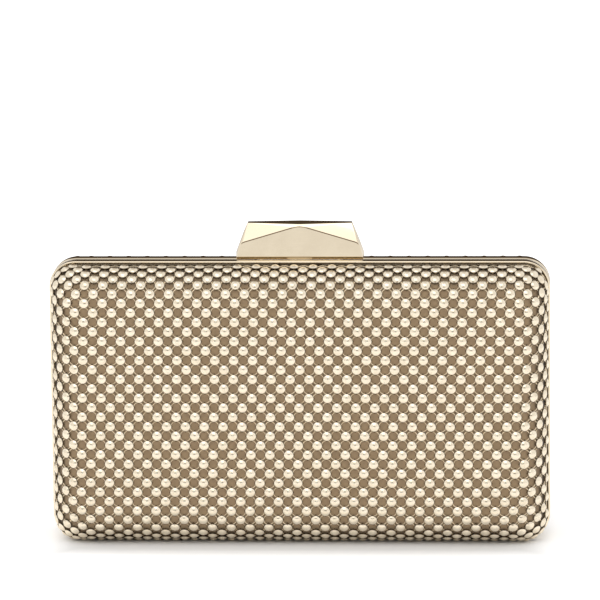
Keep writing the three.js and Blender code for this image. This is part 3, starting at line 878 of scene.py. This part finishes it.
bright_domes = stud_finish("bright_domes", DOME_TONES, DOME_ROUGHNESS)
ring_wire = stud_finish("ring_wire", RING_TONES, RING_ROUGHNESS)
for side, sign in SIDES.items():
    tree = outside_tree(sign)
    closest = 2 * DOME_RADIUS * CROWDING
    stud_places = spaced((placed(*point, sign, tree) for point in lattice(0)), closest)
    ring_places = spaced((placed(*point, sign, tree) for point in lattice(1)), closest)
    studs = scattered(side + "_dome_studs", dome_stud(), stud_places)
    rings = scattered(side + "_mesh_rings", wire_ring(), ring_places)
    sharp_where(studs, STUD_CREASE)
    studs.data.materials.append(bright_domes)
    rings.data.materials.append(ring_wire)
    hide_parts(side + "_mesh_cover")
    for piece in (studs, rings):
        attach(piece, BODIES[side])


# ---- Linings ----------------------------------------------------------------------------------------
# Each half is lined with ivory-beige satin, cut a little full, so that it lies in soft puckers. Its edge is
# glued to the tray along the rim.

LINING_THICK = 0.5 * MM
PUCKER = 0.45 * MM
PUCKER_LENGTH = 11 * MM
FLOAT_PITCH = 0.3 * MM
FLOAT_SLOPE = 2.0
SATIN_TONES = ((0.60, 0.49, 0.355), (0.66, 0.55, 0.41))
SATIN_ROUGHNESS = (0.30, 0.48)


def satin_finish():
    """Ivory-beige satin: a fine diagonal float in the weave, a silky sheen and faint shading in the nap."""
    finish = new_finish("ivory_satin", Sheen_Weight=0.4, Sheen_Roughness=0.3)
    tree = finish[1]
    across, _, up = joined(tree, "ShaderNodeSeparateXYZ", Vector=coordinates(tree)).outputs
    slope = maths(tree, "ADD", across, maths(tree, "MULTIPLY", up, FLOAT_SLOPE))
    floats = maths(tree, "SINE", maths(tree, "MULTIPLY", slope, 2 * math.pi / FLOAT_PITCH))
    colour = clouded(tree, 24 * MM, SATIN_TONES, 2.0)
    gloss = ranged(tree, floats, -1.0, 1.0, *SATIN_ROUGHNESS)
    return dressed(finish, colour, gloss, raised(tree, floats, 0.02 * MM, 0.3))


def puckered(layer, sign):
    """Moves a lining off the tray by up to the height of a pucker."""
    inward = Vector((0, -sign, 0))
    for corner in layer.data.vertices:
        spot = corner.co / PUCKER_LENGTH
        lift = (noise.noise(spot) + 1) / 2 * PUCKER
        middle = Vector((0, 0, TRAY_MIDDLE)) - corner.co
        corner.co += (inward + middle.normalized()).normalized() * lift


# Round both rolled edges together, the lining's way is shorter than the cloth's by three times its depth.
ivory_satin = satin_finish()
for side, sign in SIDES.items():
    rim = seam_distance(*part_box(side + "_lining"))
    cutters = [catch_recess()] if side == "rear" else []
    lining = tray_layer(side + "_satin_lining", side, UNDER["lining"], rim, LINING_THICK, cutters)
    puckered(lining, sign)
    lining.data.materials.append(ivory_satin)
    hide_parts(side + "_lining")
    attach(lining, BODIES[side])


# ---- Slip pocket ------------------------------------------------------------------------------------
# A pocket of the same satin is sewn to the back lining by its sides and foot. Its front stands a little
# proud, and its open top edge is finished with a folded strip.

POCKET_COLUMNS = 48
POCKET_ROWS = 26
POCKET_CLOTH = 0.5 * MM
SIDE_SHARPNESS = 7
FOOT_SHARE = 0.16
RIPPLE = 0.3 * MM
RIPPLE_LENGTH = 13 * MM
CLOTH_CREASE = 60


def pocket_front(across, up, low, high):
    """A point on the pocket's front: sewn down at the sides and foot, and standing proud in the middle."""
    x = low[0] + (high[0] - low[0]) * across
    z = low[2] + (high[2] - low[2]) * up
    side_rise = 1 - abs(2 * across - 1) ** SIDE_SHARPNESS
    foot_rise = 1 - max(0, 1 - up / FOOT_SHARE) ** 2
    proud = (high[1] - low[1] - 2 * POCKET_CLOTH) * side_rise * foot_rise
    ripple = RIPPLE * noise.noise(Vector((x, 0, z)) / RIPPLE_LENGTH) * side_rise * foot_rise
    return Vector((x, high[1] - POCKET_CLOTH - proud + abs(ripple), z))


def grid_piece(name, columns, rows, point_at):
    """A sheet of points over columns and rows."""
    corners = [point_at(i / columns, j / rows) for j in range(rows + 1) for i in range(columns + 1)]
    width = columns + 1
    faces = [(j * width + i, j * width + i + 1, (j + 1) * width + i + 1, (j + 1) * width + i)
             for j in range(rows) for i in range(columns)]
    return mesh_piece(name, corners, faces)


def thickened(piece, thickness):
    """Gives a sheet its cloth's thickness, half to each side."""
    solid = piece.modifiers.new("cloth", "SOLIDIFY")
    solid.thickness = thickness
    solid.offset = 0
    return sharp_where(apply_modifiers(piece), CLOTH_CREASE)


pocket_low, pocket_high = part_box("slip_pocket")
pocket = grid_piece("satin_slip_pocket", POCKET_COLUMNS, POCKET_ROWS,
                    lambda across, up: pocket_front(across, up, pocket_low, pocket_high))
thickened(pocket, POCKET_CLOTH)
pocket.data.materials.append(ivory_satin)
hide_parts("slip_pocket")
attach(pocket, "rear_half")
pocket_wide, pocket_deep, pocket_tall = [high - low for low, high in zip(pocket_low, pocket_high)]

# The strip is folded once round the pocket's mouth, and is set in a little at both ends.
STRIP_CLEAR = 0.12 * MM
STRIP_CLOTH = 0.4 * MM
STRIP_END_SHARE = 0.04
STRIP_FACE_SHARE = 0.42
STRIP_ROWS = 24
strip_low, strip_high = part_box("pocket_binding")


def strip_point(along, around):
    """The folded strip: up the front of the pocket's edge, over it and down behind."""
    across = STRIP_END_SHARE + (1 - 2 * STRIP_END_SHARE) * along
    drop = pocket_high[2] - strip_low[2]
    off = STRIP_CLEAR + POCKET_CLOTH
    edge = pocket_front(across, 1, pocket_low, pocket_high)
    from_end = min(around, 1 - around)
    if from_end < STRIP_FACE_SHARE:
        height = strip_low[2] + drop * from_end / STRIP_FACE_SHARE
        turn = 0 if around < 0.5 else math.pi
    else:
        height = pocket_high[2]
        turn = (around - STRIP_FACE_SHARE) / (1 - 2 * STRIP_FACE_SHARE) * math.pi
    share = (height - pocket_low[2]) / pocket_tall
    base = pocket_front(across, share, pocket_low, pocket_high)
    return Vector((edge.x, base.y - off * math.cos(turn), height + off * math.sin(turn)))


strip = grid_piece("satin_edge_strip", POCKET_COLUMNS, STRIP_ROWS, strip_point)
thickened(strip, STRIP_CLOTH)
strip.data.materials.append(ivory_satin)
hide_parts("pocket_binding")
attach(strip, "rear_half")


# ---- Hinges -----------------------------------------------------------------------------------------
# Two small steel hinges sit in seats milled into the frames' bottom edges. Each has a front leaf with two
# knuckles, a rear leaf with one, and a pin through them with slightly domed ends.

PIN_SIDES = 28
PIN_CREASE = 50
DOME_END_SHARE = 0.25
DOME_END_TURNS = (0, 0.5, 1.0, math.pi / 2)
PIN_TIP_SHARE = 0.05
STEEL_TONES = ((0.52, 0.50, 0.47), (0.66, 0.64, 0.60))
STEEL_ROUGHNESS = (0.22, 0.42)
BRUSHING = {"detail": 4.0, "stretch": (0.06, 1, 1)}


def steel_finish():
    """Brushed steel: fine lines along the knuckles, with light rubbing."""
    finish = new_finish("brushed_steel", Metallic=1.0)
    tree = finish[1]
    brushing = mottle(tree, 0.12 * MM, **BRUSHING)
    colour = clouded(tree, 3 * MM, STEEL_TONES, spread=NOISE_MIDDLE)
    gloss = uneven(tree, brushing, STEEL_ROUGHNESS)
    return dressed(finish, colour, gloss, raised(tree, brushing, 0.006 * MM, 0.35))


def refinish(node, finish):
    """Gives a node of the frame a better finish in its own slots."""
    for material_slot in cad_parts[node].material_slots:
        material_slot.material = finish


def turned_piece(name, node, profile, axis):
    """A piece turned on a lathe in place of a node: profile is (share along, share of the radius) points."""
    low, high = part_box(node)
    middle = (low + high) / 2
    length = high[axis] - low[axis]
    others = [i for i in range(3) if i != axis]
    radius = (high[others[0]] - low[others[0]]) / 2
    rings = []
    for along, share in profile:
        ring = []
        for i in range(PIN_SIDES):
            turn = i * 2 * math.pi / PIN_SIDES
            point = [0, 0, 0]
            point[axis] = low[axis] + length * along
            point[others[0]] = middle[others[0]] + radius * share * math.cos(turn)
            point[others[1]] = middle[others[1]] + radius * share * math.sin(turn)
            ring.append(point)
        rings.append(ring)
    made = outward(mesh_piece(name, *skin(rings, False)))
    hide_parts(node)
    return sharp_where(made, PIN_CREASE)


def pin_profile(slimness):
    """A straight pin with gently domed ends. The slimness is its length over its radius."""
    dome = DOME_END_SHARE / slimness
    ends = [(dome * (1 - math.cos(a)), max(PIN_TIP_SHARE, math.sin(a))) for a in DOME_END_TURNS]
    return ends + [(1 - along, share) for along, share in ends[::-1]]


brushed_steel = steel_finish()
for end in ("left", "right"):
    for side in SIDES:
        refinish(f"hinge_{side}_leaf_{end}", brushed_steel)
    pin_low, pin_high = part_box("hinge_pin_" + end)
    slimness = (pin_high[0] - pin_low[0]) / ((pin_high[2] - pin_low[2]) / 2)
    pin = turned_piece("hinge_pin_domed_" + end, "hinge_pin_" + end, pin_profile(slimness), 0)
    pin.data.materials.append(brushed_steel)
    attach(pin, "rear_half")


# ---- Clasp bar --------------------------------------------------------------------------------------
# A cast bar, hollow below, ground into flat facets with softened edges and plated pale gold. Its plain front
# rises to a low peak, two facets lean back from that to a narrow top, and the ends slope in.

CLASP_PLUMB_LEAN = 0.062
SHOULDER = (24.0 * MM, 6.2 * MM)
SHOULDER_ROUND = 2.6 * MM
PEAK_UP = 13.3 * MM
PEAK_ROUND = 9 * MM
FOOT_HALF = 25.4 * MM
BACK_FOOT_HALF = 25 * MM
TOP_HALF = 20.9 * MM
TOP_END_LEAN = 3.2 * MM
TOP_MIDDLE_LEAN = 1.2 * MM
TOP_END_FALL = 0.25 * MM
TOP_MIDDLE_FALL = 0.5 * MM
SIDE_EDGE_UP = 2 * MM
SIDE_RIDGE = (22.7 * MM, 10.3 * MM)
BACK_CUT = (6.2 * MM, 2.5 * MM)
CLASP_EDGE = 0.42 * MM
OTHER_EDGE_SHARE = 0.3
FILLET_STEPS = 7
HOLLOW_HALF = 18.5 * MM
HOLLOW_DEPTHS = (1.45 * MM, 8.6 * MM)
HOLLOW_UP = 8.5 * MM
BORE_CLEAR = 0.07 * MM
FLAT_LIMIT = 1.5
EASED_LIMIT = 8
FACET_CREASE = 9


def filleted(before, corner, after, radius):
    """The points of a round that replaces a corner of an outline."""
    before, corner, after = Vector(before), Vector(corner), Vector(after)
    back = (before - corner).normalized()
    on = (after - corner).normalized()
    half = back.angle(on) / 2
    centre = corner + (back + on).normalized() * radius / math.sin(half)
    first = corner + back * radius / math.tan(half) - centre
    last = corner + on * radius / math.tan(half) - centre
    whole = first.angle(last)
    points = []
    for i in range(FILLET_STEPS + 1):
        share = i / FILLET_STEPS
        spoke = first * math.sin((1 - share) * whole) + last * math.sin(share * whole)
        points.append(centre + spoke / math.sin(whole))
    return points


def clasp_outline(foot_half, foot_up):
    """The house-shaped outline of the bar's front, as (x, height over the frame) points."""
    foot = [(-foot_half, foot_up), (foot_half, foot_up)]
    shoulders = [(-SHOULDER[0], SHOULDER[1]), SHOULDER]
    peak = (0, PEAK_UP)
    return [Vector(foot[0]), *filleted(foot[0], shoulders[0], peak, SHOULDER_ROUND),
            *filleted(shoulders[0], peak, shoulders[1], PEAK_ROUND),
            *filleted(peak, shoulders[1], foot[1], SHOULDER_ROUND), Vector(foot[1])]


def hull_piece(name, corners):
    """The solid that a cloud of corners spans, with its flat faces whole."""
    work = bmesh.new()
    for corner in corners:
        work.verts.new(corner)
    spare = bmesh.ops.convex_hull(work, input=work.verts)
    loose = [v for v in spare["geom_interior"] + spare["geom_unused"] if isinstance(v, bmesh.types.BMVert)]
    bmesh.ops.delete(work, geom=loose, context="VERTS")
    flat_limit = math.radians(FLAT_LIMIT)
    bmesh.ops.dissolve_limit(work, angle_limit=flat_limit, verts=work.verts, edges=work.edges)
    mesh = bpy.data.meshes.new(name)
    work.to_mesh(mesh)
    work.free()
    made = bpy.data.objects.new(name, mesh)
    scene.collection.objects.link(made)
    return outward(made)


def clasp_corners(low, high, frame_top):
    """Every corner of the bar."""
    foot_up = low[2] - frame_top
    middle = (low[1] + high[1]) / 2
    corners = []
    for x, up in clasp_outline(FOOT_HALF, foot_up):
        corners.append((x, low[1] + CLASP_PLUMB_LEAN * (up - foot_up), frame_top + up))
    for x, up in clasp_outline(BACK_FOOT_HALF, BACK_CUT[1])[1:-1]:
        corners.append((x, high[1] - CLASP_PLUMB_LEAN * up, frame_top + up))
    for sign in (-1, 1):
        corners.append((sign * high[0], middle, low[2]))
        corners.append((sign * high[0], middle, frame_top + SIDE_EDGE_UP))
        corners.append((sign * SIDE_RIDGE[0], middle, frame_top + SIDE_RIDGE[1]))
        corners.append((sign * BACK_FOOT_HALF, BACK_CUT[0], low[2]))
        corners.append((sign * BACK_FOOT_HALF, high[1], frame_top + BACK_CUT[1]))
        corners.append((sign * TOP_HALF, low[1] + TOP_END_LEAN, high[2] - TOP_END_FALL))
        corners.append((sign * TOP_HALF, high[1] - TOP_END_LEAN, high[2]))
    corners.append((0, low[1] + TOP_MIDDLE_LEAN, high[2] - TOP_MIDDLE_FALL))
    corners.append((0, high[1] - TOP_MIDDLE_LEAN, high[2]))
    return corners


def ease_edges(piece):
    """Marks how much each edge is softened: fully round the front facet, and lightly elsewhere."""
    work = bmesh.new()
    work.from_mesh(piece.data)
    eased = work.edges.layers.float.new("bevel_weight_edge")
    facing = [face for face in work.faces if face.normal.y < -0.9]
    front = max(facing, key=lambda face: face.calc_area())
    for edge in work.edges:
        if edge.calc_face_angle(0) > math.radians(EASED_LIMIT):
            edge[eased] = 1.0 if front in edge.link_faces else OTHER_EDGE_SHARE
    work.to_mesh(piece.data)
    work.free()


bar_low, bar_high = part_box("clasp_bar")
frame_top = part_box("rear_frame")[1][2]
clasp_bar = hull_piece("faceted_clasp_bar", clasp_corners(bar_low, bar_high, frame_top))
pin_low, pin_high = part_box("clasp_pivot_pin")
pin_radius = (pin_high[2] - pin_low[2]) / 2
hollow = block("hollow", (-HOLLOW_HALF, HOLLOW_DEPTHS[0], frame_top - MM),
               (HOLLOW_HALF, HOLLOW_DEPTHS[1], frame_top + HOLLOW_UP))
bore_ends = (pin_low[0] - FIT_GAP, pin_high[0] + FIT_GAP)
bore_axis = ((pin_low + pin_high) / 2).yz
bore = round_bar("bore", pin_radius + BORE_CLEAR, *bore_ends, *bore_axis)
ease_edges(clasp_bar)
softened = clasp_bar.modifiers.new("softened", "BEVEL")
softened.width = CLASP_EDGE
softened.segments = 3
softened.limit_method = "WEIGHT"
softened.use_clamp_overlap = False
apply_modifiers(clasp_bar)
mill(clasp_bar, [hollow, bore])
sharp_where(clasp_bar, FACET_CREASE)
flat_facets = clasp_bar.modifiers.new("flat_facets", "WEIGHTED_NORMAL")
flat_facets.weight = 100
flat_facets.keep_sharp = True
apply_modifiers(clasp_bar)
clasp_bar.data.materials.clear()
clasp_bar.data.materials.append(polished_gilt)
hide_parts("clasp_bar")
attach(clasp_bar, "clasp")


# ---- Clasp works ------------------------------------------------------------------------------------
# The bar pivots on a pin in a gilt base, which two rivets hold to the rear frame. A wire spring round the
# pin brings the bar back, and the bar's hook passes through the frame to a catch under the front rail.

SPRING_TURNS = 6
SPRING_STEPS = 26
SPRING_SIDES = 8
SPRING_WIRE = 0.28 * MM
RIVET_PROFILE = (
    (0.0, 0.45), (0.03, 0.85), (0.08, 1.0), (0.20, 1.0), (0.20, 0.6), (0.80, 0.6), (0.80, 1.0), (0.88, 1.0),
    (0.94, 0.85), (0.98, 0.55), (1.0, 0.15),
)


def wound_spring(name, node):
    """A coil of wire that fills a node's box, wound along X."""
    low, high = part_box(node)
    middle = (low + high) / 2
    radius = (high[2] - low[2]) / 2 - SPRING_WIRE
    steps = SPRING_TURNS * SPRING_STEPS
    start = low[0] + SPRING_WIRE
    run = high[0] - low[0] - 2 * SPRING_WIRE
    rings = []
    for i in range(steps + 1):
        turn = i / SPRING_STEPS * 2 * math.pi
        out = Vector((0, -math.cos(turn), math.sin(turn)))
        centre = Vector((start + run * i / steps, middle[1], middle[2])) + out * radius
        ring = []
        for j in range(SPRING_SIDES):
            around = j * 2 * math.pi / SPRING_SIDES
            offset = out * math.cos(around) + Vector((1, 0, 0)) * math.sin(around)
            ring.append(centre + offset * SPRING_WIRE)
        rings.append(ring)
    return sharp_where(outward(mesh_piece(name, *skin(rings, False))), PIN_CREASE)


for node in ("clasp_base", "clasp_hook", "latch_catch"):
    refinish(node, polished_gilt)
slimness = (pin_high[0] - pin_low[0]) / pin_radius
pivot = turned_piece("clasp_pivot_domed", "clasp_pivot_pin", pin_profile(slimness), 0)
pivot.data.materials.append(brushed_steel)
spring = wound_spring("wound_clasp_spring", "clasp_spring")
spring.data.materials.append(brushed_steel)
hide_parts("clasp_spring")
for piece in (pivot, spring):
    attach(piece, "rear_half")
for end in ("left", "right"):
    rivet = turned_piece("clasp_rivet_domed_" + end, "clasp_rivet_" + end, RIVET_PROFILE, 2)
    rivet.data.materials.append(polished_gilt)
    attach(rivet, "rear_half")
